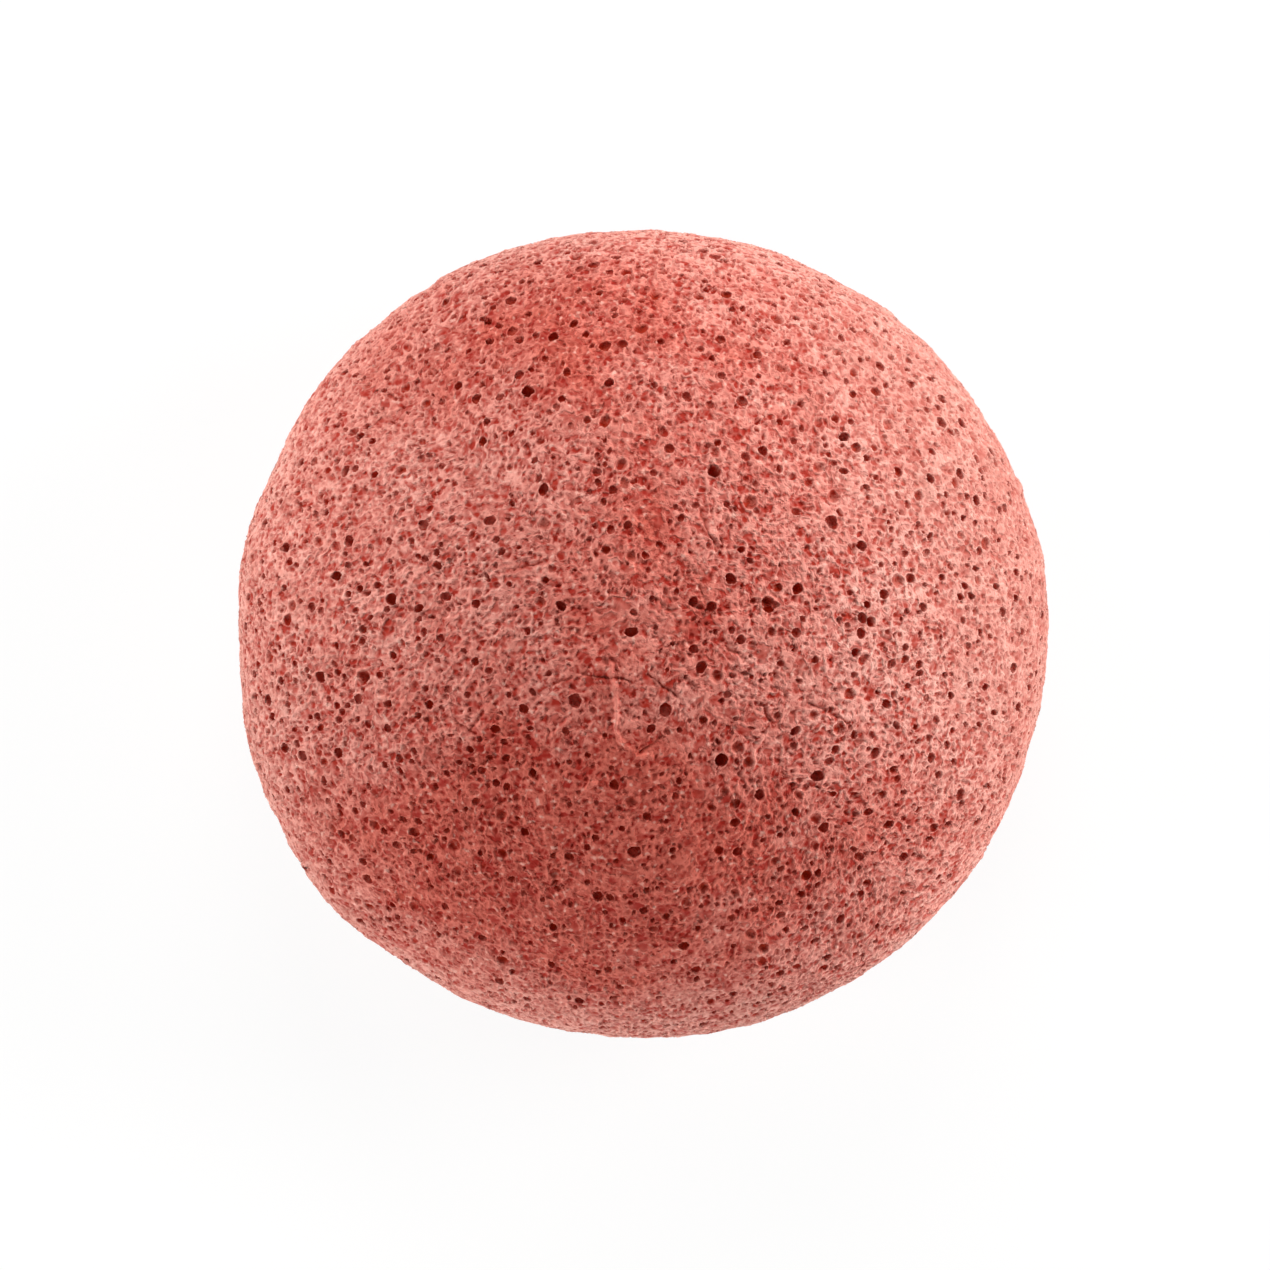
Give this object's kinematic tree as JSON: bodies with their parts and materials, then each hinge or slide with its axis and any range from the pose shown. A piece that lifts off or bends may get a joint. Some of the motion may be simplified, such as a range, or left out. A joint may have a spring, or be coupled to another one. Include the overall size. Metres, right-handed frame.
{
  "type": "half-ball konjac facial sponge",
  "caption": "Half-ball facial sponge of open-celled konjac foam, with a domed face, a rounded lower edge and a slightly dished flat side to stand on.",
  "frame": {"origin": "centre of the flat side, on the plane that the foot ring stands on", "axes": "+Z runs up through the crown of the dome. +X is right and +Y is up in the picture, which looks straight down on the crown."},
  "size_m": [0.08, 0.08, 0.04],
  "materials": {
    "skin_foam": "dry konjac foam skin, matt, fine-grained, dull salmon red, full of small open cells",
    "core_foam": "dry open-celled konjac foam, matt, deep clay red inside the cells"
  },
  "bodies": {
    "root": {"dome_skin": "skin_foam", "base_skin": "skin_foam", "foam_core": "core_foam"}
  },
  "joints": []
}
